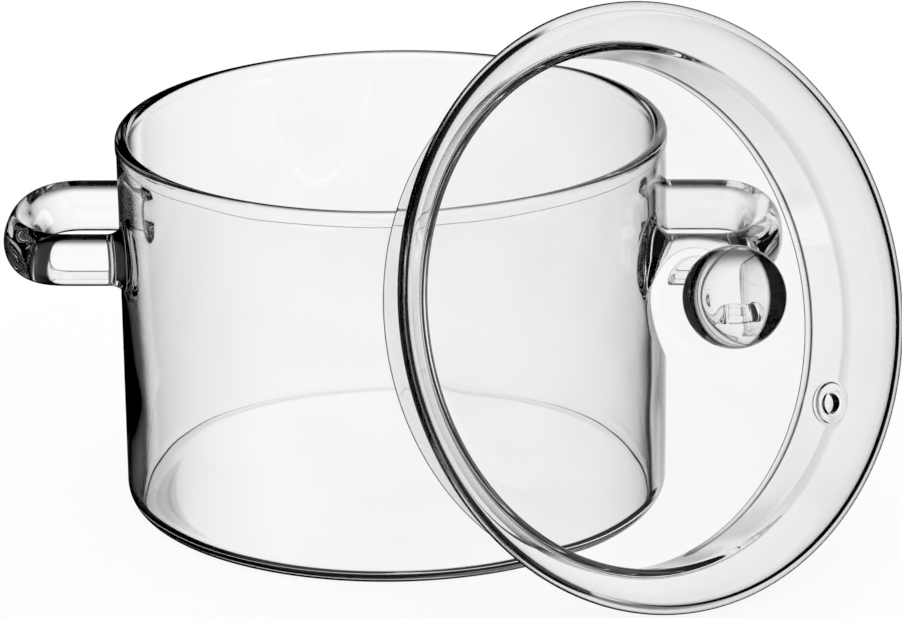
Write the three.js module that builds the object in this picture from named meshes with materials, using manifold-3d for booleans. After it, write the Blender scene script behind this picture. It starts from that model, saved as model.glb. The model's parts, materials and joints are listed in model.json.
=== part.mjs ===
// All-glass cooking pot with two loop handles and a ball-knobbed lid that leans on it.
// Millimetres, +Z up. The origin is the middle of the pot's underside and the handles lie along X.

import * as THREE from "three";
import { mergeVertices } from "three/addons/utils/BufferGeometryUtils.js";
import Module from "manifold-3d";

// Pot
const potRadius = 80; // outside of the wall
const potHeight = 111.6; // to the top of the rim
const wallThickness = 3.2;
const baseThickness = 2.4;
const footIn = 3.6; // rounding outside, where the wall meets the base: how far in from the wall
const footUp = 5; // and how far up it reaches
const hollowIn = 1.6; // rounding inside, where the wall meets the base: how far in from the wall
const hollowUp = 2.6; // and how far up it reaches
const rimSwell = 0.35; // how far the fire-polished rim stands proud of the wall, inside and out
const rimHeight = 4.5; // how far down the rim's swelling reaches

// Loop handles
const handleMiddle = 79.2; // height of the loop's middle line
const handleTall = 15.4; // section, upright
const handleThick = 11.6; // section, across
const handleSpread = 25.2; // from the pot's middle plane to the middle of a leg
const handleReach = 34; // how far the loop stands out from the wall
const handleBend = 15; // length of the rounded end, along the reach
const handleRoundness = 2.45; // power of the rounded end's curve, 2 is an ellipse
const handleFlare = 5; // radius of the melted root where a leg meets the wall

// Lid
const lidOverhang = 6; // how far the lid's edge stands out past the pot's wall
const lidThickness = 2.6;
const domeRise = 18; // from the lid's widest edge up to the middle of the dome
const domeSquareness = 4; // power of the dome's curve, higher is flatter with a rounder shoulder
const edgeDrop = 9.6; // from the widest edge down to the fold, where the collar is melted on
const collarPlay = 2.2; // gap between the collar and the inside of the pot
const collarThickness = 2;
const collarLength = 17.8; // from the fold down
const seamRadius = 1.6; // rounding of the melted seam outside the collar

// Ball knob
const ballRadius = 14.3;
const neckRadius = 4.45; // at its narrowest
const neckRise = 1.5; // from the pad's top to the ball's lowest point, hidden in the neck
const padRadius = 16; // low pad between the neck and the dome
const padRise = 1.2; // how far the pad stands out of the dome's top
const padEdge = 4; // width of the pad's rounded edge

// Steam vent
const ventBore = 3.1; // radius of the hole
const ventRing = 5.4; // outside radius of the ring
const ventProud = 0.8; // how far the ring stands out of the dome
const ventBelow = 0.2; // how far the ring reaches below the dome
const ventDistance = 55; // from the lid's axis
const ventAngle = THREE.MathUtils.degToRad(-43.5); // round the lid's axis

// Where the lid stands
const lidHeading = THREE.MathUtils.degToRad(39.5); // turn of the lid's face about Z, away from -Y
const lidLean = THREE.MathUtils.degToRad(19.8); // how far the knob points above level
const lidSideways = 14.2; // lid's middle, sideways from the line through the pot's axis
const lidClearance = 0.5; // left between the leaning lid and the pot
const lidStep = 0.05; // step of the search for where the lid stops

const meltGap = 0.3; // left at every melted joint, so that each piece stays its own body
const weldReach = 1e-4; // points closer than this are one

// Facets
const roundSteps = 64; // round the pot and the lid
const knobSteps = 36;
const ventSteps = 24;
const sectionSteps = 18; // round a handle's section
const bendSteps = 16; // along a handle's rounded end
const domeSteps = 9; // from the dome's middle to its edge
const arcSteps = 5; // along a quarter of a profile's arc
const smallArcSteps = 3; // along a quarter of a small rounding
const probeSteps = 256; // points tried round the pot where the lid leans
const probeHeights = 12; // points tried up the pot's wall

const wasm = await Module();
wasm.setup();

// Glass, the same clear one everywhere, as a new material for each piece
function glass(color) {
  return new THREE.MeshStandardMaterial({
    color,
    roughness: 0.03,
    metalness: 0,
    transparent: true,
    opacity: 0.35,
  });
}

// Points from angle a to angle b on an ellipse about (x, y)
function arc(x, y, radiusX, radiusY, a, b, steps = arcSteps) {
  const points = [];
  for (let i = 0; i <= steps; i++) {
    const angle = a + ((b - a) * i) / steps;
    points.push(new THREE.Vector2(x + radiusX * Math.cos(angle), y + radiusY * Math.sin(angle)));
  }
  return points;
}

// Welds a geometry's shared points, drops empty triangles and turns its faces outwards
function weld(geometry) {
  geometry.deleteAttribute("normal");
  geometry.deleteAttribute("uv");
  const merged = mergeVertices(geometry, weldReach);
  const position = merged.getAttribute("position");
  const index = merged.getIndex().array;
  const triangles = [];
  let volume = 0;
  const [a, b, c] = [new THREE.Vector3(), new THREE.Vector3(), new THREE.Vector3()];
  for (let i = 0; i < index.length; i += 3) {
    const [p, q, r] = [index[i], index[i + 1], index[i + 2]];
    if (p === q || q === r || r === p) continue;
    triangles.push(p, q, r);
    a.fromBufferAttribute(position, p);
    b.fromBufferAttribute(position, q);
    c.fromBufferAttribute(position, r);
    volume += a.dot(b.cross(c));
  }
  merged.setIndex(volume < 0 ? triangles.reverse() : triangles);
  return merged;
}

// A profile of (radius, height) points turned about Z
function turned(profile, steps = roundSteps) {
  return weld(new THREE.LatheGeometry(profile, steps).rotateX(Math.PI / 2));
}

function toSolid(geometry) {
  const vertProperties = new Float32Array(geometry.getAttribute("position").array);
  const triVerts = new Uint32Array(geometry.getIndex().array);
  return new wasm.Manifold(new wasm.Mesh({ numProp: 3, vertProperties, triVerts }));
}

// What is left of a geometry when the other is cut out of it
function cut(geometry, other) {
  const mesh = toSolid(geometry).subtract(toSolid(other)).getMesh();
  const result = new THREE.BufferGeometry();
  result.setAttribute("position", new THREE.BufferAttribute(mesh.vertProperties, 3));
  result.setIndex(new THREE.BufferAttribute(mesh.triVerts, 1));
  return result;
}

function piece(name, geometry, color) {
  geometry.computeVertexNormals();
  const mesh = new THREE.Mesh(geometry, glass(color));
  mesh.name = name;
  return mesh;
}

// The rim's half-round top, from the outside over to the inside
function rimArc() {
  const half = wallThickness / 2 + rimSwell;
  return arc(potRadius - wallThickness / 2, potHeight - half, half, half, 0, Math.PI, 2 * arcSteps);
}

// Pot body: from the underside's middle out, up, over the rim and down inside
function potProfile() {
  const inside = potRadius - wallThickness;
  return [
    new THREE.Vector2(0, 0),
    ...arc(potRadius - footIn, footUp, footIn, footUp, -Math.PI / 2, 0),
    new THREE.Vector2(potRadius, potHeight - rimHeight),
    ...rimArc(),
    new THREE.Vector2(inside, potHeight - rimHeight),
    ...arc(inside - hollowIn, baseThickness + hollowUp, hollowIn, hollowUp, 0, -Math.PI / 2),
    new THREE.Vector2(0, baseThickness),
  ];
}

// Middle line of a handle's loop, from inside the wall on one side round to the other
function handleLine() {
  const wallAtLeg = Math.sqrt(potRadius ** 2 - handleSpread ** 2);
  const bendStart = potRadius + handleReach - handleThick / 2 - handleBend;
  const legs = [wallAtLeg - handleFlare];
  for (const p of arc(handleFlare, 0, handleFlare, 0, Math.PI, Math.PI / 2)) legs.push(wallAtLeg + p.x);
  const ahead = legs.filter((x) => x < bendStart).map((x) => new THREE.Vector2(x, -handleSpread));
  const bend = [];
  for (let i = 0; i <= bendSteps; i++) {
    const angle = -Math.PI / 2 + (Math.PI * i) / bendSteps;
    const across = Math.abs(Math.cos(angle)) ** (2 / handleRoundness);
    const along = Math.sign(Math.sin(angle)) * Math.abs(Math.sin(angle)) ** (2 / handleRoundness);
    bend.push(new THREE.Vector2(bendStart + handleBend * across, handleSpread * along));
  }
  const back = ahead.map((p) => new THREE.Vector2(p.x, -p.y)).reverse();
  return [...ahead, ...bend, ...back];
}

// How much a leg's section widens at a distance from the wall: a quarter-round melted root
function flareAt(distance) {
  const inside = THREE.MathUtils.clamp(handleFlare - distance, 0, handleFlare);
  return handleFlare - Math.sqrt(handleFlare ** 2 - inside ** 2);
}

// Rings of points of a handle's oval section along its loop
function handleRings() {
  const line = handleLine();
  const wallAtLeg = line[1].x;
  return line.map((point, i) => {
    const before = line[Math.max(i - 1, 0)];
    const after = line[Math.min(i + 1, line.length - 1)];
    const along = after.clone().sub(before).normalize();
    const flare = flareAt(point.x - wallAtLeg);
    const ring = [];
    for (let j = 0; j < sectionSteps; j++) {
      const angle = (2 * Math.PI * j) / sectionSteps;
      const across = (handleThick / 2 + flare) * Math.cos(angle);
      const height = handleMiddle + (handleTall / 2 + flare) * Math.sin(angle);
      ring.push(new THREE.Vector3(point.x + along.y * across, point.y - along.x * across, height));
    }
    return ring;
  });
}

// A skin over rings of points, closed by a fan at each end
function lofted(rings) {
  const count = rings[0].length;
  const positions = rings.flat().flatMap((p) => [p.x, p.y, p.z]);
  const triangles = [];
  for (let i = 0; i + 1 < rings.length; i++) {
    for (let j = 0; j < count; j++) {
      const next = (j + 1) % count;
      const [a, b] = [i * count + j, i * count + next];
      triangles.push(a, b, b + count, a, b + count, a + count);
    }
  }
  const last = (rings.length - 1) * count;
  for (let j = 1; j + 1 < count; j++) triangles.push(0, j + 1, j, last, last + j, last + j + 1);
  const geometry = new THREE.BufferGeometry();
  geometry.setAttribute("position", new THREE.Float32BufferAttribute(positions, 3));
  geometry.setIndex(triangles);
  return weld(geometry);
}

// A loop handle, cut to the pot's wall; side is 1 on the right and -1 on the left
function handleGeometry(side) {
  const loop = lofted(handleRings());
  const wallReach = potRadius + meltGap;
  const wall = new THREE.CylinderGeometry(wallReach, wallReach, 2 * potHeight, roundSteps);
  const loopCut = cut(loop, weld(wall.rotateX(Math.PI / 2)));
  return side > 0 ? loopCut : loopCut.rotateZ(Math.PI);
}

// Sizes of the lid that follow from the pot, about the lid's axis with its widest edge at height 0
const lidRadius = potRadius + lidOverhang;
const collarRadius = potRadius - wallThickness - collarPlay;
const collarInside = collarRadius - collarThickness;
const collarFoot = -edgeDrop - collarLength;

// Height of a domed curve at a radius, for a dome of that rise and widest radius
function domeHeight(radius, rise, widest) {
  return rise * Math.sqrt(Math.max(0, 1 - (radius / widest) ** domeSquareness));
}

// Angle by which the outside of the dome falls away at a radius
function domeSlope(radius) {
  const share = (radius / lidRadius) ** domeSquareness;
  return Math.atan((domeRise * domeSquareness * share) / (2 * radius * Math.sqrt(1 - share)));
}

// Points of a domed curve from its middle out to its widest edge
function domeArc(rise, widest) {
  const points = [];
  for (let i = 0; i <= domeSteps; i++) {
    const angle = (Math.PI / 2) * (i / domeSteps);
    const radius = widest * Math.sin(angle) ** (2 / domeSquareness);
    points.push(new THREE.Vector2(radius, rise * Math.cos(angle)));
  }
  return points;
}

// Lid's dome: out to the widest edge, round under it to a lip above the collar, and back inside
function domeProfile() {
  const insideRadius = lidRadius - lidThickness;
  const insideDrop = edgeDrop - lidThickness;
  const lip = lidThickness / 2;
  return [
    ...domeArc(domeRise, lidRadius),
    ...arc(collarRadius, 0, lidRadius - collarRadius, edgeDrop, 0, -Math.PI / 2).slice(1),
    ...arc(collarInside + lip, lip - edgeDrop, lip, lip, 1.5 * Math.PI, Math.PI / 2, 2 * smallArcSteps),
    ...arc(collarRadius, 0, insideRadius - collarRadius, insideDrop, -Math.PI / 2, 0).slice(0, -1),
    ...domeArc(domeRise - lidThickness, insideRadius).reverse(),
  ];
}

// Lid's collar: a short tube with a rounded foot, flared outwards at the seam under the dome's lip
function collarProfile() {
  const top = -edgeDrop - meltGap;
  const half = collarThickness / 2;
  const seamMiddle = collarRadius + seamRadius;
  const profile = [
    new THREE.Vector2(collarInside, top),
    ...arc(seamMiddle, top - seamRadius, seamRadius, seamRadius, Math.PI / 2, Math.PI, smallArcSteps),
    ...arc(collarInside + half, collarFoot + half, half, half, 0, -Math.PI, 2 * smallArcSteps),
  ];
  profile.push(profile[0].clone());
  return profile;
}

// Moves a piece made about the Z axis to the vent's place on the dome, standing square to it
function toVent(geometry) {
  geometry.rotateY(domeSlope(ventDistance));
  geometry.translate(ventDistance, 0, domeHeight(ventDistance, domeRise, lidRadius));
  return geometry.rotateZ(ventAngle);
}

// The ring round the steam hole, rounded above and below
function ventGeometry() {
  const middle = (ventBore + ventRing) / 2;
  const half = (ventRing - ventBore) / 2;
  const profile = [
    ...arc(middle, 0, half, ventProud, 0, Math.PI),
    ...arc(middle, -lidThickness, half, ventBelow, Math.PI, 2 * Math.PI),
  ];
  profile.push(profile[0].clone());
  return toVent(turned(profile, ventSteps));
}

function domeGeometry() {
  const holeReach = ventRing + meltGap;
  const hole = new THREE.CylinderGeometry(holeReach, holeReach, 4 * lidThickness, ventSteps);
  return cut(turned(domeProfile()), toVent(weld(hole.rotateX(Math.PI / 2))));
}

// Ball knob: a low pad that follows the dome underneath, a short hollowed neck and the ball
function knobGeometry() {
  const seat = (radius) => domeHeight(radius, domeRise, lidRadius) + meltGap;
  const padTop = domeRise + padRise;
  const ballMiddle = padTop + neckRise + ballRadius;
  // The neck's hollow curve touches the pad's top and the ball
  const span = neckRise + 2 * ballRadius - neckRadius;
  const hollow = span - Math.sqrt(span ** 2 - neckRadius ** 2 - neckRise ** 2 - 2 * neckRise * ballRadius);
  const hollowMiddle = neckRadius + hollow;
  const meeting = Math.atan2(ballMiddle - padTop - hollow, -hollowMiddle);
  const profile = [
    new THREE.Vector2(0, seat(0)),
    new THREE.Vector2(padRadius / 2, seat(padRadius / 2)),
    ...arc(padRadius - padEdge, seat(padRadius), padEdge, padTop - seat(padRadius), 0, Math.PI / 2),
    ...arc(hollowMiddle, padTop + hollow, hollow, hollow, 1.5 * Math.PI, meeting),
    ...arc(0, ballMiddle, ballRadius, ballRadius, meeting - Math.PI, Math.PI / 2, 3 * arcSteps).slice(1, -1),
    new THREE.Vector2(0, ballMiddle + ballRadius),
  ];
  return turned(profile, knobSteps);
}

// Whether a point beside the lid, at a radius and height about its axis, keeps clear of its glass
function clearOfLid(radius, height) {
  const inHollow = radius < collarInside - lidClearance;
  const underDome = height < domeHeight(radius, domeRise - lidThickness, lidRadius) - lidClearance;
  const besideCollar = radius > collarRadius + lidClearance;
  const reach = THREE.MathUtils.clamp((radius - collarRadius) / (lidRadius - collarRadius), 0, 1);
  const underEdge = height < -edgeDrop * Math.sqrt(1 - reach ** 2) - lidClearance;
  const pastEdge = radius > lidRadius + lidClearance;
  const belowCollar = height < collarFoot - lidClearance;
  return belowCollar || (inHollow && underDome) || (besideCollar && underEdge) || pastEdge;
}

// The lid's place when its middle is at a distance from the pot's axis, standing on its edge
function lidPlace(distance) {
  const floorReach = Math.hypot((lidRadius - collarRadius) * Math.cos(lidLean), edgeDrop * Math.sin(lidLean));
  const height = collarRadius * Math.cos(lidLean) + floorReach;
  return new THREE.Matrix4()
    .makeRotationZ(lidHeading)
    .multiply(new THREE.Matrix4().makeTranslation(lidSideways, -distance, height))
    .multiply(new THREE.Matrix4().makeRotationX(Math.PI / 2 - lidLean));
}

// Points on the outside of the pot's wall, its rim and its right handle
function leaningPoints() {
  const upright = rimArc();
  for (let i = 1; i <= probeHeights; i++) {
    upright.push(new THREE.Vector2(potRadius, ((potHeight - rimHeight) * i) / probeHeights));
  }
  const points = handleRings().slice(1, -1).flat();
  for (const { x: radius, y: height } of upright) {
    for (let i = 0; i < probeSteps; i++) {
      const angle = (2 * Math.PI * i) / probeSteps;
      points.push(new THREE.Vector3(radius * Math.cos(angle), radius * Math.sin(angle), height));
    }
  }
  return points;
}

// The lid is moved out from the pot until the wall, the rim and the handle are clear of it
function leaningPlace() {
  const points = leaningPoints();
  const local = new THREE.Vector3();
  for (let distance = potRadius; ; distance += lidStep) {
    const place = lidPlace(distance);
    const inverse = place.clone().invert();
    const free = points.every((point) => {
      local.copy(point).applyMatrix4(inverse);
      return clearOfLid(Math.hypot(local.x, local.y), local.z);
    });
    if (free) return place;
  }
}

const pot = new THREE.Group();
pot.add(piece("pot_body", turned(potProfile()), 0xf4f7f6));
pot.add(piece("handle_left", handleGeometry(-1), 0xe9efee));
pot.add(piece("handle_right", handleGeometry(1), 0xe9efee));

const lid = new THREE.Group();
lid.add(piece("lid_dome", domeGeometry(), 0xf4f7f6));
lid.add(piece("lid_collar", turned(collarProfile()), 0xf4f7f6));
lid.add(piece("lid_knob", knobGeometry(), 0xe9efee));
lid.add(piece("vent_ring", ventGeometry(), 0xe9efee));
lid.applyMatrix4(leaningPlace());

const cookingPot = new THREE.Group();
cookingPot.add(pot, lid);

export default cookingPot;
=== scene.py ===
import json
import math

import bmesh
import bpy
from mathutils import Matrix, Vector, noise


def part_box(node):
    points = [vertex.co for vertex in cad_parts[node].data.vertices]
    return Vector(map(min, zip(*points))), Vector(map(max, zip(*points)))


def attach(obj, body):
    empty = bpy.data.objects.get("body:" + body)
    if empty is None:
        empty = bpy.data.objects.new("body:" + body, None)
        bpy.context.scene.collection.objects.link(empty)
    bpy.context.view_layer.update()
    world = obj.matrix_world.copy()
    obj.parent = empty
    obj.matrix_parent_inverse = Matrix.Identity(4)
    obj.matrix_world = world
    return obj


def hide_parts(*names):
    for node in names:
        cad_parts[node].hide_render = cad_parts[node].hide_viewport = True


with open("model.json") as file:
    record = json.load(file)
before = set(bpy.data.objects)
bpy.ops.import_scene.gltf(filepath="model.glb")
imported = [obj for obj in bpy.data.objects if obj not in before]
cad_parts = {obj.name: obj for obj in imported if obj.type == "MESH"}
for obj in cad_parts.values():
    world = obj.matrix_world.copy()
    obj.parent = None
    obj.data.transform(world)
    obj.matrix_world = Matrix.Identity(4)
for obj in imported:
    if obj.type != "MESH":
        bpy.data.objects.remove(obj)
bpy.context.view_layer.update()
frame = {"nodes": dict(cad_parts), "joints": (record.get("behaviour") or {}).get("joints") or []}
mm = 0.001   # shapes are worked out in millimetres
tiny = 1e-6  # a ring with a smaller radius is a single point
print("frame loaded:", sorted(frame["nodes"]))

# Camera, fitted to the pot's rim, foot and handles

photoCamera = {
    "lens": 199.56,
    "sensor": 36.0,
    "place": (0.07779, -1.39136, 0.54694),
    "yaw": -2.5,      # degrees, from +Y towards +X
    "pitch": 19.447,  # degrees below level
    "roll": -0.843,
}


def makeCamera(spec):
    yaw, pitch, roll = (math.radians(spec[key]) for key in ("yaw", "pitch", "roll"))
    ahead = Vector((math.sin(yaw) * math.cos(pitch), math.cos(yaw) * math.cos(pitch), -math.sin(pitch)))
    level = Vector((math.cos(yaw), -math.sin(yaw), 0.0))
    upright = level.cross(ahead)
    right = level * math.cos(roll) + upright * math.sin(roll)
    up = upright * math.cos(roll) - level * math.sin(roll)
    data = bpy.data.cameras.new("photoCamera")
    data.lens = spec["lens"]
    data.sensor_fit = "HORIZONTAL"
    data.sensor_width = spec["sensor"]
    camera = bpy.data.objects.new("photoCamera", data)
    bpy.context.scene.collection.objects.link(camera)
    turn = Matrix((right, up, -ahead)).transposed().to_4x4()
    camera.matrix_world = Matrix.Translation(Vector(spec["place"])) @ turn
    bpy.context.scene.camera = camera


makeCamera(photoCamera)
print("camera placed")

# Small tools for round glass


def nodeBox(name):
    low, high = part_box(name)
    return low / mm, high / mm


def arcPoints(x, y, radiusX, radiusY, start, end, steps):
    points = []
    for i in range(steps + 1):
        angle = math.radians(start + (end - start) * i / steps)
        points.append((x + radiusX * math.cos(angle), y + radiusY * math.sin(angle)))
    return points


def spread(start, end, steps):
    return [start + (end - start) * i / steps for i in range(steps + 1)]


def smooth(t):
    t = min(max(t, 0.0), 1.0)
    return t * t * (3.0 - 2.0 * t)


def bezier(p0, p1, p2, p3, t):
    s = 1.0 - t
    return p0 * s**3 + p1 * (3 * s * s * t) + p2 * (3 * s * t * t) + p3 * t**3


def inHole(hole, row, column, columns):
    firstRow, lastRow = hole["rows"]
    firstColumn, lastColumn = hole["columns"]
    return firstRow < row < lastRow and 0 < (column - firstColumn) % columns < lastColumn - firstColumn


def cellInHole(hole, row, column, columns):
    firstRow, lastRow = hole["rows"]
    firstColumn, lastColumn = hole["columns"]
    return firstRow <= row < lastRow and (column - firstColumn) % columns < lastColumn - firstColumn


# A (radius, height) profile turned about Z; holes are left open for what is melted on there
def turnedSkin(bm, profile, columns, phase=0.0, holes=()):
    rings = []
    for row, (radius, height) in enumerate(profile):
        if radius < tiny:
            rings.append([bm.verts.new((0.0, 0.0, height))])
            continue
        ring = []
        for column in range(columns):
            if any(inHole(hole, row, column, columns) for hole in holes):
                ring.append(None)
                continue
            angle = phase + 2.0 * math.pi * column / columns
            ring.append(bm.verts.new((radius * math.cos(angle), radius * math.sin(angle), height)))
        rings.append(ring)
    for row in range(len(rings) - 1):
        lower, upper = rings[row], rings[row + 1]
        for column in range(columns):
            if any(cellInHole(hole, row, column, columns) for hole in holes):
                continue
            after = (column + 1) % columns
            if len(lower) == 1:
                bm.faces.new((lower[0], upper[after], upper[column]))
            elif len(upper) == 1:
                bm.faces.new((lower[column], lower[after], upper[0]))
            else:
                bm.faces.new((lower[column], lower[after], upper[after], upper[column]))
    return rings


# Grid places round a hole's edge, from the middle of its right side and anticlockwise
def holeEdge(hole, mirrored=False):
    firstRow, lastRow = hole["rows"]
    firstColumn, lastColumn = hole["columns"]
    middle = (firstRow + lastRow) // 2
    places = [(row, lastColumn) for row in range(middle, lastRow)]
    places += [(lastRow, column) for column in range(lastColumn, firstColumn, -1)]
    places += [(row, firstColumn) for row in range(lastRow, firstRow, -1)]
    places += [(firstRow, column) for column in range(firstColumn, lastColumn)]
    places += [(row, lastColumn) for row in range(firstRow, middle)]
    if mirrored:
        places = [(row, firstColumn + lastColumn - column) for row, column in places]
    return places


def bridge(bm, ringA, ringB):
    count = len(ringA)
    for i in range(count):
        after = (i + 1) % count
        bm.faces.new((ringA[i], ringA[after], ringB[after], ringB[i]))


# Rows from a hole's edge in to a loop of (angle, height) places on the same surface
def holeBorder(bm, rings, hole, loop, gridPlace, onSurface, steps, mirrored=False):
    columns = hole["around"]
    edge = holeEdge(hole, mirrored)
    ring = [rings[row][column % columns] for row, column in edge]
    edgePlaces = [gridPlace(row, column) for row, column in edge]
    for step in range(1, steps + 1):
        t = step / steps
        inner = []
        for (u0, v0), (u1, v1) in zip(edgePlaces, loop):
            inner.append(bm.verts.new(onSurface(u0 + (u1 - u0) * t, v0 + (v1 - v0) * t)))
        bridge(bm, ring, inner)
        ring = inner
    return ring


# One value per point of some rings, from its place
def paint(rings, layer, valueAt):
    for ring in rings:
        for point in ring:
            point[layer] = valueAt(point.co)


def rowShades(firstRow, shades):
    return dict(enumerate(shades, firstRow))


def glassPiece(name, bm, place, material, body, nodes):
    bmesh.ops.recalc_face_normals(bm, faces=bm.faces)
    for face in bm.faces:
        face.smooth = True
    bm.transform(place @ Matrix.Scale(mm, 4))
    mesh = bpy.data.meshes.new(name)
    bm.to_mesh(mesh)
    bm.free()
    piece = bpy.data.objects.new(name, mesh)
    bpy.context.scene.collection.objects.link(piece)
    piece.data.materials.append(material)
    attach(piece, body)
    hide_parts(*nodes)
    return piece


# Glass

clearGlass = {
    "ior": 1.47,
    "rippleScale": 34.0,     # slow unevenness of the blown surface, per metre
    "rippleDetail": 1.0,
    "rippleDepth": 0.00002,
    "smearScale": 16.0,      # wiped patches
    "smearDetail": 4.0,
    "smearFrom": (0.56, 0.74),
    "smear": 0.012,
    "streaks": (10.0, 46.0, 22.0),
    "streakDetail": 3.0,
    "streakBend": 0.4,
    "hazeFrom": (0.46, 0.78),
    "haze": 0.035,
    "seedScale": 105.0,      # tiny bubbles
    "seedSize": 0.045,
    "seedShare": 0.9,
    "seedShade": 0.8,
    "lineTint": 0.0004,      # colour of the painted shade lines along edges
    "slantBlend": 0.5,
    "slantFrom": (0.70, 0.86),  # painted shade: the tint darkens where the glass is seen at a slant, standing in for the dark surroundings seen through it
    "slantShade": 0.97,
    "limbShadeSlant": 0.3,       # sooner where the painted limb shade is set
    "limbShadeFrom": (0.3, 1.2),  # and darker there
}


class NodeTree:
    def __init__(self, tree):
        self.nodes, self.links = tree.nodes, tree.links

    def add(self, kind, inputs=None, **settings):
        node = self.nodes.new(kind)
        for name, value in settings.items():
            setattr(node, name, value)
        for name, value in (inputs or {}).items():
            self.feed(node.inputs[name], value)
        return node

    def feed(self, socket, value):
        if isinstance(value, bpy.types.NodeSocket):
            self.links.new(value, socket)
        else:
            socket.default_value = value

    def maths(self, operation, *values):
        return self.add("ShaderNodeMath", dict(enumerate(values)), operation=operation).outputs[0]

    def ramp(self, value, start, end, low=0.0, high=1.0):
        numbers = {"Value": value, "From Min": start, "From Max": end, "To Min": low, "To Max": high}
        return self.add("ShaderNodeMapRange", numbers, interpolation_type="SMOOTHSTEP").outputs[0]

    def mix(self, share, a, b):
        node = self.add("ShaderNodeMix", data_type="RGBA")
        for socket, value in zip((node.inputs[0], node.inputs[6], node.inputs[7]), (share, a, b)):
            self.feed(socket, value)
        return node.outputs[2]


# Ripples, wiped patches, faint streaks and tiny bubbles, in the place of the glass itself
def glassDetail(spec):
    group = bpy.data.node_groups.new("glassDetail", "ShaderNodeTree")
    group.interface.new_socket("Line", in_out="INPUT", socket_type="NodeSocketFloat")
    group.interface.new_socket("Tint", in_out="OUTPUT", socket_type="NodeSocketColor")
    group.interface.new_socket("Smear", in_out="OUTPUT", socket_type="NodeSocketFloat")
    group.interface.new_socket("Ripple", in_out="OUTPUT", socket_type="NodeSocketFloat")
    tree = NodeTree(group)
    given = tree.add("NodeGroupInput")
    result = tree.add("NodeGroupOutput")
    place = tree.add("ShaderNodeTexCoord").outputs["Object"]
    ripple = tree.add("ShaderNodeTexNoise", {
        "Vector": place, "Scale": spec["rippleScale"], "Detail": spec["rippleDetail"]})
    wiped = tree.add("ShaderNodeTexNoise", {
        "Vector": place, "Scale": spec["smearScale"], "Detail": spec["smearDetail"]})
    smear = tree.ramp(wiped.outputs[0], *spec["smearFrom"], 0.0, spec["smear"])
    drawn = tree.add("ShaderNodeMapping", {"Vector": place, "Scale": spec["streaks"]}).outputs[0]
    streak = tree.add("ShaderNodeTexNoise", {
        "Vector": drawn, "Scale": 1.0, "Detail": spec["streakDetail"], "Distortion": spec["streakBend"]})
    haze = tree.ramp(streak.outputs[0], *spec["hazeFrom"], 0.0, spec["haze"])
    cells = tree.add("ShaderNodeTexVoronoi", {"Vector": place, "Scale": spec["seedScale"]})
    picked = tree.maths("GREATER_THAN", cells.outputs["Color"], spec["seedShare"])
    seed = tree.maths("MULTIPLY", tree.ramp(cells.outputs["Distance"], spec["seedSize"], 0.0), picked)
    dull = tree.maths("MAXIMUM", haze, tree.maths("MULTIPLY", seed, spec["seedShade"]))
    tint = tree.mix(dull, (1.0, 1.0, 1.0, 1.0), (0.0, 0.0, 0.0, 1.0))
    # Painted shade: the tint goes dark along the painted lines and slanted edges
    line = spec["lineTint"]
    tree.feed(result.inputs["Tint"], tree.mix(given.outputs["Line"], tint, (line, line, line, 1.0)))
    tree.feed(result.inputs["Smear"], smear)
    tree.feed(result.inputs["Ripple"], ripple.outputs[0])
    return group


def glassMaterial(spec, detail):
    material = bpy.data.materials.new("clearGlass")
    material.use_nodes = True
    tree = NodeTree(material.node_tree)
    shader = material.node_tree.nodes["Principled BSDF"]
    shader.inputs["IOR"].default_value = spec["ior"]
    shader.inputs["Transmission Weight"].default_value = 1.0
    # Painted shade: the tint darkens along the painted lines, and where the glass is seen at a slant, sooner
    # and darker where the painted limb shade is set
    line = tree.add("ShaderNodeAttribute", attribute_name="paintedLineShade").outputs["Fac"]
    slant = tree.add("ShaderNodeLayerWeight", {"Blend": spec["slantBlend"]}).outputs["Facing"]
    limbShade = tree.add("ShaderNodeAttribute", attribute_name="paintedLimbShade").outputs["Fac"]
    slant = tree.maths("ADD", slant, tree.maths("MULTIPLY", limbShade, spec["limbShadeSlant"]))
    shade = tree.maths("MAXIMUM", spec["slantShade"], tree.ramp(limbShade, *spec["limbShadeFrom"]))
    edge = tree.ramp(slant, *spec["slantFrom"], 0.0, shade)
    looks = tree.add("ShaderNodeGroup", node_tree=detail)
    tree.feed(looks.inputs["Line"], tree.maths("MAXIMUM", line, edge))
    bump = tree.add("ShaderNodeBump", {"Height": looks.outputs["Ripple"], "Distance": spec["rippleDepth"]})
    tree.feed(shader.inputs["Base Color"], looks.outputs["Tint"])
    tree.feed(shader.inputs["Roughness"], looks.outputs["Smear"])
    tree.feed(shader.inputs["Normal"], bump.outputs[0])
    return material


glass = glassMaterial(clearGlass, glassDetail(clearGlass))

# Pot with its two handles melted on, one skin of glass

potGlass = {
    "wall": 3.2,
    "base": 2.4,
    "footIn": 3.6,               # rounding outside at the base: how far in, and how far up
    "footUp": 5.0,
    "hollowIn": 1.6,             # rounding inside at the base
    "hollowUp": 2.6,
    "flatEnds": (1.5, 0.5),      # how far from those roundings the flat rows stop
    "wallFoot": 1.0,             # extra wall at the base
    "wallFootSpan": (0.1, 0.6),  # shares of the height between which it fades out
    "rimSwell": 0.35,
    "rimDepth": 4.6,
    "rimStep": 0.9,              # height of the soft step below the fire-polished rim
    "rimWave": (0.55, 26.0),     # how far that step wanders up and down, and over what length
    "rimLine": 0.8,              # painted shade: a dark line in the step, on its front
    "rimLineRows": 1,            # rows on both sides of its middle row
    "rimLineFront": (5.0, 30.0),  # how far in front of the pot's middle it starts, and over what length
    "waves": (0.05, 17.0),       # unevenness of the inside, as blown, and its length
    "shadedFrom": 62.0,           # the base has closer rows outside this radius
    "columns": 360,
    "rows": {"under": 6, "foot": 16, "wall": 9, "step": 8, "band": 3, "rim": 16, "swelling": 5,
             "inside": 48, "hollow": 16, "shaded": 24, "base": 28},
}
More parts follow.
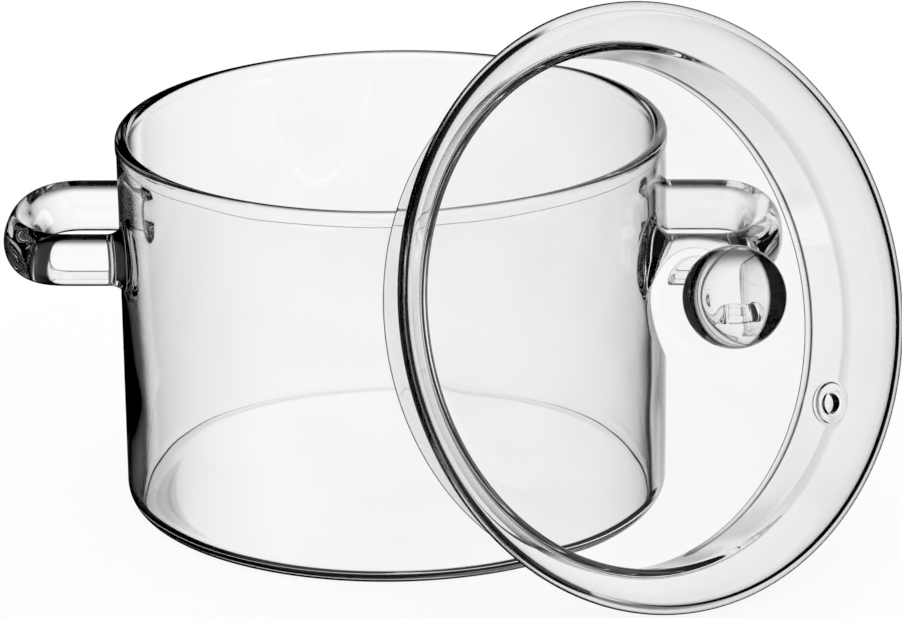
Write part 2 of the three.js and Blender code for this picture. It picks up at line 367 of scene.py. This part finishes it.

# Painted shade on the base: a crescent at the left, beside the wall, and a soft line at its back
paintedBaseShade = {
    "crescentRadius": 69.3,
    "crescentTurn": (197.0, 29.0),  # its middle and half length, degrees
    "crescentWidth": 3.3,
    "crescentSkew": 0.05,           # how far it runs outwards, per degree
    "crescentShade": 0.3,
    "coreWidth": 1.2,
    "coreShift": 0.6,
    "coreShade": 0.5,
    "soft": 0.8,
    "lineRadius": 72.0,
    "lineWidth": 1.6,
    "lineStart": (15.0, 40.0),      # degrees, and over how many it grows
    "lineEnd": (178.0, 20.0),
    "lineShade": 0.14,
}

loopHandle = {
    "tall": 15.4,
    "thick": 11.6,
    "spread": 25.2,
    "bend": 15.0,
    "roundness": 2.45,
    "flare": 5.0,
    "flarePull": 0.55,    # how far the flare's curve is drawn out along both its ends
    "legGap": 0.8,        # from the flare's end to the leg's first ring
    "patchHeight": 38.4,  # stretch of the wall that is left to the melted roots
    "patchCells": 24,
    "borderRings": 5,
    "rootRings": 9,
    "straight": 3,        # rings along a leg's straight part
    "bendRings": 96,
    "bendSteps": 800,     # fine steps that the bend is measured with
}


# How dark the painted shade makes a place on the base
def baseShadeAt(spec, co):
    turn, reach = math.degrees(math.atan2(co.y, co.x)) % 360.0, math.hypot(co.x, co.y)
    middle, half = spec["crescentTurn"]
    taper = max(0.0, 1.0 - ((turn - middle) / half) ** 2)
    off = reach - spec["crescentRadius"] - spec["crescentSkew"] * (turn - middle)
    crescent = spec["crescentShade"] * smooth((spec["crescentWidth"] * taper - abs(off)) / spec["soft"])
    off += spec["coreShift"]
    core = spec["coreShade"] * smooth((spec["coreWidth"] * taper - abs(off)) / spec["soft"])
    start, growth = spec["lineStart"]
    end, fading = spec["lineEnd"]
    line = spec["lineShade"] * smooth(1.0 - abs(reach - spec["lineRadius"]) / spec["lineWidth"])
    line *= smooth((turn - start) / growth) * smooth((end - turn) / fading)
    return max(crescent, core, line)


def potProfile(spec, radius, height, patch, cells):
    inside = radius - spec["wall"]
    footIn, footUp, base = spec["footIn"], spec["footUp"], spec["base"]
    hollowIn, hollowUp = spec["hollowIn"], spec["hollowUp"]
    underEnd, insideEnd = spec["flatEnds"]
    rimHalf = spec["wall"] / 2 + spec["rimSwell"]
    rimTop = height - rimHalf
    swellFoot = height - spec["rimDepth"]
    stepTop = swellFoot + spec["rimStep"]
    patchLow, patchHigh = patch
    shadedFrom, rows = spec["shadedFrom"], spec["rows"]

    def insideAt(z):
        low, high = spec["wallFootSpan"]
        return inside - spec["wallFoot"] * smooth((high * height - z) / ((high - low) * height))

    def swelling(side, wall, run, heights):
        return [(wall + side * spec["rimSwell"] * smooth((z - swellFoot) / run), z) for z in heights]

    starts = {}
    profile = [(r, 0.0) for r in spread(0.0, radius - footIn - underEnd, rows["under"])]
    profile += arcPoints(radius - footIn, footUp, footIn, footUp, -90, 0, rows["foot"])
    profile += [(radius, z) for z in spread(footUp, patchLow, rows["wall"])[1:-1]]
    starts["patch"] = len(profile)
    profile += [(radius, z) for z in spread(patchLow, patchHigh, cells)]
    profile += [(radius, (patchHigh + swellFoot) / 2)]
    starts["step"] = len(profile)
    profile += swelling(1, radius, spec["rimStep"], spread(swellFoot, stepTop, rows["step"]))
    starts["band"] = len(profile)
    profile += swelling(1, radius, spec["rimStep"], spread(stepTop, rimTop, rows["band"])[1:-1])
    profile += arcPoints(radius - spec["wall"] / 2, rimTop, rimHalf, rimHalf, 0, 180, rows["rim"])
    profile += swelling(-1, inside, rimTop - swellFoot, spread(rimTop, swellFoot, rows["swelling"])[1:])
    starts["inside"] = len(profile)
    profile += [(insideAt(z), z) for z in spread(swellFoot, base + hollowUp, rows["inside"])[1:-1]]
    insideFoot = insideAt(base + hollowUp)
    profile += arcPoints(insideFoot - hollowIn, base + hollowUp, hollowIn, hollowUp, 0, -90, rows["hollow"])
    starts["base"] = len(profile)
    profile += [(r, base) for r in spread(insideFoot - hollowIn - insideEnd, shadedFrom, rows["shaded"])]
    profile += [(r, base) for r in spread(shadedFrom, 0.0, rows["base"])[1:]]
    return profile, starts


# The step below the rim wanders, with a line of painted shade in it at the front, and the inside is a little
# uneven
def unevenGlass(spec, rings, starts, paintedLineShade):
    wander, length = spec["rimWave"]
    front, growth = spec["rimLineFront"]
    middleRow = (starts["step"] + starts["band"]) // 2
    for row in range(starts["step"], starts["band"]):
        for point in rings[row]:
            point.co.z += wander * noise.noise(Vector((point.co.x, point.co.y, 0.0)) / length)
            # Painted shade: a dark line in the step's middle rows, fading out towards the back
            if abs(row - middleRow) <= spec["rimLineRows"]:
                point[paintedLineShade] = spec["rimLine"] * smooth((-point.co.y - front) / growth)
    depth, length = spec["waves"]
    hollowTop = spec["base"] + spec["hollowUp"]
    for ring in rings[starts["inside"]:]:
        for point in ring:
            outward = Vector((point.co.x, point.co.y, 0.0)).normalized()
            flat = smooth((hollowTop - point.co.z) / spec["hollowUp"])
            lean = outward * (1.0 - flat) + Vector((0.0, 0.0, flat))
            point.co += lean * depth * noise.noise(point.co / length)


# Middle line of a loop, from one leg round the bend to the other, in even steps round the bend
def handlePath(spec, radius, reach):
    bendStart = reach - spec["thick"] / 2 - spec["bend"]
    power = 2.0 / spec["roundness"]
    dense = []
    for angle in spread(-math.pi / 2, math.pi / 2, spec["bendSteps"]):
        along = abs(math.cos(angle)) ** power
        across = math.copysign(abs(math.sin(angle)) ** power, angle)
        dense.append(Vector((bendStart + spec["bend"] * along, spec["spread"] * across, 0.0)))
    lengths = [0.0]
    for before, after in zip(dense, dense[1:]):
        lengths.append(lengths[-1] + (after - before).length)
    bend, at = [], 0
    for wanted in spread(0.0, lengths[-1], spec["bendRings"]):
        while at < len(lengths) - 2 and lengths[at + 1] < wanted:
            at += 1
        share = (wanted - lengths[at]) / (lengths[at + 1] - lengths[at])
        bend.append(dense[at].lerp(dense[at + 1], min(max(share, 0.0), 1.0)))
    wallX = math.sqrt(radius**2 - (spec["spread"] - spec["thick"] / 2) ** 2)
    legXs = spread(wallX + spec["flare"] + spec["legGap"], bendStart, spec["straight"])[:-1]
    leg = [Vector((x, -spec["spread"], 0.0)) for x in legXs]
    return leg + bend + [Vector((p.x, -p.y, 0.0)) for p in reversed(leg)]


# Curve of a melted root, from the wall out to the leg, at one angle round the leg
def rootCurve(handle, radius, middle, side, angle):
    halfThick, halfTall, flare = handle["thick"] / 2, handle["tall"] / 2, handle["flare"]
    across, up = halfThick * math.cos(angle) * -side, halfTall * math.sin(angle)
    outward = Vector((-side * math.cos(angle) / halfThick, math.sin(angle) / halfTall)).normalized()
    legY = side * handle["spread"] + across
    start = Vector((math.sqrt(radius**2 - legY**2) + flare, legY, middle + up))
    wallY = legY + outward.x * flare
    wallX = math.sqrt(radius**2 - wallY**2)
    end = Vector((wallX, wallY, middle + up + outward.y * flare))
    alongWall = Vector((-wallY / wallX * outward.x, outward.x, outward.y)).normalized()
    pull = handle["flarePull"]
    return end, end - alongWall * pull * flare, start - Vector((pull * flare, 0.0, 0.0)), start


def makePot(spec, handle):
    high = nodeBox("pot_body")[1]
    handleLow, handleHigh = nodeBox("handle_right")
    radius = high.x - spec["rimSwell"]
    middle = (handleLow.z + handleHigh.z) / 2
    patch = (middle - handle["patchHeight"] / 2, middle + handle["patchHeight"] / 2)
    cells, columns = handle["patchCells"], spec["columns"]
    profile, starts = potProfile(spec, radius, high.z, patch, cells)

    columnAngle = 2.0 * math.pi / columns
    legColumn = round(math.asin(handle["spread"] / radius) / columnAngle)
    handles = []
    for turn, start in ((0.0, 0), (math.pi, columns // 2)):
        roots = []
        for side in (-1, 1):
            centre = start + side * legColumn
            roots.append({
                "rows": (starts["patch"], starts["patch"] + cells),
                "columns": (centre - cells // 2, centre + cells // 2),
                "around": columns,
                "side": side,
            })
        handles.append((turn, roots))

    bm = bmesh.new()
    paintedLineShade = bm.verts.layers.float.new("paintedLineShade")
    rings = turnedSkin(bm, profile, columns, holes=[hole for _, roots in handles for hole in roots])
    unevenGlass(spec, rings, starts, paintedLineShade)
    # Painted shade on the base
    paint(rings[starts["base"]:], paintedLineShade, lambda co: baseShadeAt(paintedBaseShade, co))

    def gridPlace(row, column):
        return column * columnAngle, profile[row][1]

    def onWall(angle, z):
        return radius * math.cos(angle), radius * math.sin(angle), z

    count = 4 * cells
    angles = [2.0 * math.pi * k / count for k in range(count)]
    halfThick, halfTall = handle["thick"] / 2, handle["tall"] / 2
    path = handlePath(handle, radius, handleHigh.x)
    for turn, roots in handles:
        spin = Matrix.Rotation(turn, 3, "Z")
        ends = []
        for hole in roots:
            side = hole["side"]
            curves = [rootCurve(handle, radius, middle, side, a) for a in angles]
            loop = [(turn + math.asin(c[0].y / radius), c[0].z) for c in curves]
            ring = holeBorder(bm, rings, hole, loop, gridPlace, onWall, handle["borderRings"], side > 0)
            for t in spread(0.0, 1.0, handle["rootRings"])[1:]:
                outer = [bm.verts.new(spin @ bezier(*curve, t)) for curve in curves]
                bridge(bm, ring, outer)
                ring = outer
            ends.append(ring)
        ring = ends[0]
        for i, point in enumerate(path):
            before, after = path[max(i - 1, 0)], path[min(i + 1, len(path) - 1)]
            along = (after - before).normalized()
            beside = Vector((-along.y, along.x, 0.0))
            outer = []
            for a in angles:
                place = point + beside * halfThick * math.cos(a)
                outer.append(bm.verts.new(spin @ Vector((place.x, place.y, middle + halfTall * math.sin(a)))))
            bridge(bm, ring, outer)
            ring = outer
        bridge(bm, ring, ends[1])
    return bm


potPiece = glassPiece("pot_with_handles", makePot(potGlass, loopHandle), Matrix.Identity(4), glass,
                      "pot", ("pot_body", "handle_left", "handle_right"))
print("pot made:", len(potPiece.data.vertices), "points")

# Lid: dome, collar, ball knob and vent ring, one skin of glass

lidGlass = {
    "radius": 86.0,
    "thickness": 2.6,
    "domeRise": 18.0,
    "domeSquareness": 4.0,
    "edgeDrop": 9.6,
    "edgeLimb": 1.3,            # painted shade: how soon the dome's edge darkens at its left
    "edgeTurn": 166.0,          # middle of that stretch round the lid, degrees
    "edgeFade": (0.65, 0.3),    # cosine from there at which it ends, and over what it fades
    "edgeBand": (5.5, 2.0),     # its half height, and over what that fades
    "collarRadius": 74.6,
    "collarThickness": 2.0,
    "collarFoot": -27.4,
    "footRise": (2.6, 2.2, 1.0),  # above the foot's middle: the collar's end, and its dark line's two edges
    "footLine": (0.5, 1.0, 1.0, 1.0, 0.5),  # painted shades of that line, where the fire-polished foot starts
    "footLineFade": 0.45,       # share of the radius that it reaches to the left
    "footEnd": (0.5, 1.0, 1.0, 1.0, 1.0, 1.0, 1.0, 1.0, 0.5),  # painted shades at the foot's end
    "footEndRow": 6,
    "seamRadius": 1.6,
    # painted shades along the seam's hollow rounding
    "seamShades": (0.06, 0.14, 0.24, 0.32, 0.32, 0.24, 0.14, 0.06),
    "seamTries": 12,
    "ballRadius": 14.3,
    "ballLift": 17.0,
    "ballTop": 88.0,            # degrees above its middle, where the rows under its top start
    "ballLimbs": (0.3, 1.6, 2.2),  # painted shade: how soon the ball darkens above and below, at its left and at its right
    "ballFade": (0.1, 0.75),    # share of its radius at which its sides start, and over what they grow
    "neckFillet": 1.3,          # hollow rounding between the ball and its pad
    "neckEnd": 262.0,           # degrees, where that rounding ends on the pad
    "padRadius": 16.0,          # low pad of glass under the neck
    "padStart": 0.6,            # from the neck's end to the pad's first row
    "padRise": 1.2,
    "padEdge": 4.0,             # width of the pad's rounded edge
    "columns": 300,
    "rows": {"ball": 44, "neck": 10, "pad": 16, "crown": 10, "shoulder": 38, "edge": 28, "seam": 10,
             "collar": 6, "foot": 20, "collarInside": 6, "seamInside": 10, "edgeInside": 26,
             "shoulderInside": 34, "crownInside": 12},
}

ventRing = {
    "bore": 2.8,
    "radius": 5.4,
    "proud": 0.8,
    "below": 0.2,
    "lip": 0.8,                  # rounding at the bore's two ends
    "outline": 0.9,              # painted shade: a dark line round the ring's foot, towards the lid's middle
    "outlineSpan": (0.1, 0.9),   # shares of the ring's height that it lies between
    "outlineFade": (0.3, 0.9),   # cosine from outwards at which it starts, and over what it grows
    "melt": 0.8,                 # how far the ring's foot runs out on the dome
    "patch": 9.0,                # half the size of the patch of dome that is left to the ring
    "patchCells": 18,
    "borderRings": 5,
    "rows": {"melt": 8, "top": 5, "lip": 8},
    "slopeReach": 0.5,           # the dome's slope is taken over this length on both sides
}


def lidFrame(spec):
    axis = Vector(frame["joints"][0]["axis"]).normalized()
    side = Vector((-axis.y, axis.x, 0.0)).normalized()
    up = axis.cross(side)
    points = [v.co / mm for v in frame["nodes"]["lid_collar"].data.vertices]
    middle = sum(points, Vector()) / len(points)
    lowest = min((p - middle).dot(axis) for p in points)
    centre = middle + axis * (lowest - spec["collarFoot"])
    turn = Matrix((side, up, axis)).transposed().to_4x4()
    return Matrix.Translation(centre * mm) @ turn


# Height of the dome above its widest edge, outside or a thickness further in
def domeHeight(spec, r, inset=0.0):
    widest, top = spec["radius"] - inset, spec["domeRise"] - inset
    return top * math.sqrt(max(0.0, 1.0 - (r / widest) ** spec["domeSquareness"]))


# Rows of the dome from a radius to its widest edge, closer where it bends more
def shoulder(spec, start, steps, inset=0.0):
    widest, top, power = spec["radius"] - inset, spec["domeRise"] - inset, spec["domeSquareness"]
    first = math.degrees(math.asin((start / widest) ** (power / 2)))
    points = []
    for degrees in spread(first, 90.0, steps):
        angle = math.radians(degrees)
        points.append((widest * math.sin(angle) ** (2.0 / power), top * math.cos(angle)))
    return points


def lidProfile(spec, patchIn, patchOut, cells):
    radius, thick, rise, rows = spec["radius"], spec["thickness"], spec["domeRise"], spec["rows"]
    collar, drop, seam = spec["collarRadius"], spec["edgeDrop"], spec["seamRadius"]
    ball, fillet, pad = spec["ballRadius"], spec["neckFillet"], spec["padRadius"]
    ballMiddle, padTop = rise + spec["ballLift"], rise + spec["padRise"]

    def padHeight(r):
        return domeHeight(spec, r) + spec["padRise"] * smooth((pad - r) / spec["padEdge"])

    # The neck's hollow rounding touches the ball and the pad
    fall = ballMiddle - padTop
    filletAt = math.sqrt((ball + fillet) ** 2 - (fall - fillet) ** 2)
    meeting = math.degrees(math.atan2(fall - fillet, -filletAt))
    starts = {}
    profile = [(0.0, ballMiddle + ball)]
    profile += arcPoints(0.0, ballMiddle, ball, ball, spec["ballTop"], meeting - 180, rows["ball"])
    starts["neck"] = len(profile)
    filletUp = padTop + fillet
    profile += arcPoints(filletAt, filletUp, fillet, fillet, meeting, spec["neckEnd"], rows["neck"])[1:]
    profile += [(r, padHeight(r)) for r in spread(filletAt + spec["padStart"], pad, rows["pad"])]
    profile += [(r, domeHeight(spec, r)) for r in spread(pad, patchIn, rows["crown"])[1:-1]]
    starts["outerPatch"] = len(profile)
    profile += [(r, domeHeight(spec, r)) for r in spread(patchIn, patchOut, cells)]
    starts["shoulder"] = len(profile)
    profile += shoulder(spec, patchOut, rows["shoulder"])[1:]

    # The seam's hollow rounding runs smoothly from under the dome's edge into the collar
    edge, seamStart, seamTurn = radius - collar, 0.0, math.pi / 2
    for _ in range(spec["seamTries"]):
        seamStart = -math.acos(seam * (1.0 + math.cos(seamTurn)) / edge)
        seamTurn = math.atan2(-edge * math.sin(seamStart), -drop * math.cos(seamStart))
    seamMiddle = drop * math.sin(seamStart) - seam * math.sin(seamTurn)
    profile += arcPoints(collar, 0.0, edge, drop, 0, math.degrees(seamStart), rows["edge"])[1:]
    starts["seam"] = len(profile)
    profile += arcPoints(collar + seam, seamMiddle, seam, seam, math.degrees(seamTurn), 180, rows["seam"])[1:]

    half = spec["collarThickness"] / 2
    footMiddle = spec["collarFoot"] + half
    collarEnd, lineTop, lineFoot = (footMiddle + up for up in spec["footRise"])
    profile += [(collar, z) for z in spread(seamMiddle, collarEnd, rows["collar"])[1:]]
    starts["footLine"] = len(profile)
    profile += [(collar, z) for z in spread(lineTop, lineFoot, len(spec["footLine"]) - 1)]
    starts["foot"] = len(profile)
    profile += arcPoints(collar - half, footMiddle, half, half, 0, -180, rows["foot"])

    # Back up the inside
    collarInside, innerDrop = collar - spec["collarThickness"], drop - thick
    seamFoot = -innerDrop - seam
    profile += [(collarInside, z) for z in spread(footMiddle, seamFoot, rows["collarInside"])[1:-1]]
    profile += arcPoints(collarInside + seam, seamFoot, seam, seam, 180, 90, rows["seamInside"])
    profile += arcPoints(collar, 0.0, radius - thick - collar, innerDrop, -90, 0, rows["edgeInside"])
    profile += shoulder(spec, patchOut, rows["shoulderInside"], thick)[::-1][1:-1]
    starts["innerPatch"] = len(profile)
    profile += [(r, domeHeight(spec, r, thick)) for r in spread(patchOut, patchIn, cells)]
    profile += [(r, domeHeight(spec, r, thick)) for r in spread(patchIn, 0.0, rows["crownInside"])[1:]]
    return profile, starts


# Painted shade: where the ball and the dome's edge darken sooner, and dark lines along the seam and the
# collar's foot
def shadeLid(spec, rings, starts, place, paintedLimbShade, paintedLineShade):
    ballMiddle = Vector((0.0, 0.0, spec["domeRise"] + spec["ballLift"]))
    thin, left, right = spec["ballLimbs"]
    sideStart, sideGrowth = spec["ballFade"]
    turnEnd, turnFade = spec["edgeFade"]
    bandHalf, bandFade = spec["edgeBand"]

    def ballLimb(co):
        sideways = (place.to_3x3() @ (co - ballMiddle) / spec["ballRadius"]).x
        limb = right if sideways > 0.0 else left
        return thin + (limb - thin) * smooth((abs(sideways) - sideStart) / sideGrowth)

    def edgeLimb(co):
        beside = math.cos(math.atan2(co.y, co.x) - math.radians(spec["edgeTurn"]))
        band = smooth((bandHalf - abs(co.z)) / bandFade)
        return spec["edgeLimb"] * band * smooth((beside - turnEnd) / turnFade)

    paint(rings[:starts["neck"]], paintedLimbShade, ballLimb)
    paint(rings[starts["shoulder"]:starts["seam"]], paintedLimbShade, edgeLimb)
    shades = rowShades(starts["seam"] + 1, spec["seamShades"])
    shades.update(rowShades(starts["foot"] + spec["footEndRow"], spec["footEnd"]))
    for row, shade in shades.items():
        paint([rings[row]], paintedLineShade, lambda co: shade)
    for row, shade in rowShades(starts["footLine"], spec["footLine"]).items():
        paint([rings[row]], paintedLineShade,
              lambda co: shade * smooth(co.x / spec["collarRadius"] + spec["footLineFade"]))


# The ring swells softly from the dome and turns over a rounded lip into the bore
def ringProfile(vent, proud):
    radius, melt, lip, rows = vent["radius"], vent["melt"], vent["lip"], vent["rows"]
    foot, crest = radius + melt, vent["bore"] + lip
    points = [(r, proud * smooth((foot - r) / melt)) for r in spread(foot, radius, rows["melt"])]
    points += [(r, proud) for r in spread(radius, crest, rows["top"])[1:]]
    points += arcPoints(crest, proud - lip, lip, lip, 90, 180, rows["lip"])[1:]
    return points


def makeLid(spec, vent, place):
    low, high = nodeBox("vent_ring")
    ventPlace = place.inverted() @ ((low + high) / 2 * mm) / mm
    ventDistance = math.hypot(ventPlace.x, ventPlace.y)
    ventAngle = math.atan2(ventPlace.y, ventPlace.x)
    cells, columns = vent["patchCells"], spec["columns"]
    profile, starts = lidProfile(spec, ventDistance - vent["patch"], ventDistance + vent["patch"], cells)
    outerHole, innerHole = ({
        "rows": (starts[patch], starts[patch] + cells),
        "columns": (-cells // 2, cells // 2),
        "around": columns,
    } for patch in ("outerPatch", "innerPatch"))

    bm = bmesh.new()
    bm.verts.layers.float.new("paintedLimbShade")
    paintedLineShade = bm.verts.layers.float.new("paintedLineShade")
    paintedLimbShade = bm.verts.layers.float["paintedLimbShade"]
    rings = turnedSkin(bm, profile, columns, ventAngle, (outerHole, innerHole))
    shadeLid(spec, rings, starts, place, paintedLimbShade, paintedLineShade)

    # Directions at the vent: out from the lid's axis, round it, and out of the dome
    step = vent["slopeReach"]
    fall = domeHeight(spec, ventDistance - step) - domeHeight(spec, ventDistance + step)
    slope = math.atan2(fall, 2.0 * step)
    outwards = Vector((math.cos(ventAngle), math.sin(ventAngle), 0.0))
    roundwards = Vector((-math.sin(ventAngle), math.cos(ventAngle), 0.0))
    ventAxis = outwards * math.sin(slope) + Vector((0.0, 0.0, math.cos(slope)))

    # Angle and radius about the lid's axis of a place beside the vent
    def besideVent(reach, angle):
        flat = outwards * (ventDistance + reach * math.cos(angle) * math.cos(slope))
        flat += roundwards * reach * math.sin(angle)
        return math.atan2(flat.y, flat.x), math.hypot(flat.x, flat.y)

    columnAngle = 2.0 * math.pi / columns

    def gridPlace(row, column):
        return ventAngle + column * columnAngle, profile[row][0]

    def onDome(inset):
        return lambda angle, r: Vector((r * math.cos(angle), r * math.sin(angle), domeHeight(spec, r, inset)))

    count = 4 * cells
    # The hole's edge is walked with rows going out from the axis, so angle 0 lies along the columns
    angles = [math.pi / 2 - 2.0 * math.pi * k / count for k in range(count)]
    lineLow, lineHigh = vent["outlineSpan"]
    lineStart, lineGrowth = vent["outlineFade"]
    ends = []
    for inset, hole, proud, sign in (
        (0.0, outerHole, vent["proud"], 1.0),
        (spec["thickness"], innerHole, vent["below"], -1.0),
    ):
        surface = onDome(inset)
        turnedAngles = angles if sign > 0 else [math.pi - a for a in angles]
        loop = [besideVent(vent["radius"] + vent["melt"], a) for a in turnedAngles]
        ring = holeBorder(bm, rings, hole, loop, gridPlace, surface, vent["borderRings"])
        for reach, lift in ringProfile(vent, proud)[1:]:
            rise = ventAxis * lift * sign
            raised = [bm.verts.new(surface(*besideVent(reach, a)) + rise) for a in turnedAngles]
            # Painted shade: a dark line round the ring's foot, on the side towards the lid's middle
            if sign > 0 and lineLow * proud < lift < lineHigh * proud and reach > vent["radius"]:
                for point, a in zip(raised, turnedAngles):
                    point[paintedLineShade] = vent["outline"] * smooth((lineStart - math.cos(a)) / lineGrowth)
            bridge(bm, ring, raised)
            ring = raised
        ends.append(ring)
    # The inner ring is walked the other way round
    inner = [ends[1][-k % count] for k in range(count)]
    bridge(bm, ends[0], inner)
    return bm


lidPlace = lidFrame(lidGlass)
lidPiece = glassPiece("lid_with_knob", makeLid(lidGlass, ventRing, lidPlace), lidPlace, glass,
                      "lid", ("lid_dome", "lid_collar", "lid_knob", "vent_ring"))
print("lid made:", len(lidPiece.data.vertices), "points")

# Floor, light and background

studio = {
    "floorSize": 6.0,
    "floorGlow": 0.9,               # the rest of the floor's white is lit, so that it keeps a faint shadow
    "floorTone": 0.1,
    "grainScale": 60.0,
    "grainDetail": 3.0,
    "grainFrom": (0.3, 0.7),
    "grainDepth": 0.98,
    # Where the glass finds light, degrees from +Y towards +X
    "litArc": (-11.5, 29.5),        # for light mirrored once inside the glass
    "litFade": 3.0,
    "room": (95.0, 130.0, 0.9),     # for light mirrored outside it, to both sides, and how bright
    "often": (0.0, -30.0, 0.4),     # for light mirrored more than once, and how bright
    # Degrees above level
    "table": (-62.0, -40.0, 0.22),  # the table's far parts are greyer than the backdrop
    "below": (-68.0, -76.0),        # and it is white again straight below
    "deepRays": 7.5,                # light through more surfaces than this sees plain white
}


def stagePlane(name, corners, material):
    bm = bmesh.new()
    bm.faces.new([bm.verts.new(corner) for corner in corners])
    mesh = bpy.data.meshes.new(name)
    bm.to_mesh(mesh)
    bm.free()
    plane = bpy.data.objects.new(name, mesh)
    bpy.context.scene.collection.objects.link(plane)
    plane.data.materials.append(material)
    return plane


def floorMaterial(spec):
    material = bpy.data.materials.new("floorWhite")
    material.use_nodes = True
    tree = NodeTree(material.node_tree)
    tree.nodes.clear()
    place = tree.add("ShaderNodeTexCoord").outputs["Object"]
    grain = tree.add("ShaderNodeTexNoise", {
        "Vector": place, "Scale": spec["grainScale"], "Detail": spec["grainDetail"]}).outputs[0]
    tone = spec["floorTone"]
    paper = tree.ramp(grain, *spec["grainFrom"], spec["grainDepth"] * tone, tone)
    lit = tree.add("ShaderNodeBsdfDiffuse", {"Color": paper})
    glow = tree.add("ShaderNodeEmission", {"Strength": spec["floorGlow"]})
    both = tree.add("ShaderNodeAddShader", {0: lit.outputs[0], 1: glow.outputs[0]})
    tree.add("ShaderNodeOutputMaterial", {"Surface": both.outputs[0]})
    return material


def makeFloor(spec):
    half = spec["floorSize"] / 2
    corners = ((-half, -half, 0.0), (half, -half, 0.0), (half, half, 0.0), (-half, half, 0.0))
    floor = stagePlane("floor", corners, floorMaterial(spec))
    floor.visible_transmission = False
    floor.visible_glossy = False


def makeWorld(spec):
    world = bpy.data.worlds.new("studio")
    bpy.context.scene.world = world
    world.use_nodes = True
    tree = NodeTree(world.node_tree)
    tree.nodes.clear()
    coords = tree.add("ShaderNodeTexCoord").outputs["Generated"]
    axes = tree.add("ShaderNodeSeparateXYZ", {0: coords})
    azimuth = tree.maths("DEGREES", tree.maths("ARCTAN2", axes.outputs["X"], axes.outputs["Y"]))
    elevation = tree.maths("DEGREES", tree.maths("ARCSINE", axes.outputs["Z"]))
    ray = tree.add("ShaderNodeLightPath").outputs
    through, mirrors = ray["Transmission Depth"], ray["Glossy Depth"]
    none, one = 0.5, 1.5  # a little above those counts of surfaces
    arcStart, arcEnd = spec["litArc"]
    fade = spec["litFade"]
    lit = tree.maths("MULTIPLY", tree.ramp(azimuth, arcStart - fade, arcStart + fade),
                     tree.ramp(azimuth, arcEnd + fade, arcEnd - fade))
    roomStart, roomEnd, roomLight = spec["room"]
    room = tree.ramp(tree.maths("ABSOLUTE", azimuth), roomStart, roomEnd, 0.0, roomLight)
    outside = tree.maths("LESS_THAN", through, none)
    within = tree.maths("SUBTRACT", 1.0, outside)
    once = tree.maths("MAXIMUM", tree.maths("MULTIPLY", room, outside), tree.maths("MULTIPLY", lit, within))
    once = tree.maths("MULTIPLY", once, tree.maths("LESS_THAN", mirrors, one))
    oftenStart, oftenEnd, oftenLight = spec["often"]
    often = tree.maths("MULTIPLY", tree.maths("GREATER_THAN", mirrors, one),
                       tree.ramp(azimuth, oftenStart, oftenEnd, 0.0, oftenLight))
    straight = tree.maths("MAXIMUM", tree.maths("LESS_THAN", mirrors, none),
                          tree.maths("GREATER_THAN", through, spec["deepRays"]))
    tableLow, tableHigh, tableGrey = spec["table"]
    table = tree.maths("MAXIMUM", tree.ramp(elevation, tableLow, tableHigh, tableGrey, 1.0),
                       tree.ramp(elevation, *spec["below"]))
    light = tree.maths("MAXIMUM", tree.maths("MAXIMUM", once, often), straight)
    glassSees = tree.maths("MULTIPLY", light, table)
    plain = tree.maths("MAXIMUM", ray["Is Camera Ray"], ray["Is Diffuse Ray"])
    background = tree.add("ShaderNodeBackground", {"Color": tree.maths("MAXIMUM", glassSees, plain)})
    tree.add("ShaderNodeOutputWorld", {"Surface": background.outputs[0]})


makeFloor(studio)
makeWorld(studio)

scene = bpy.context.scene
scene.view_settings.view_transform = "Standard"
scene.cycles.max_bounces = 16
scene.cycles.transmission_bounces = 14
scene.cycles.glossy_bounces = 6
print("studio lit")
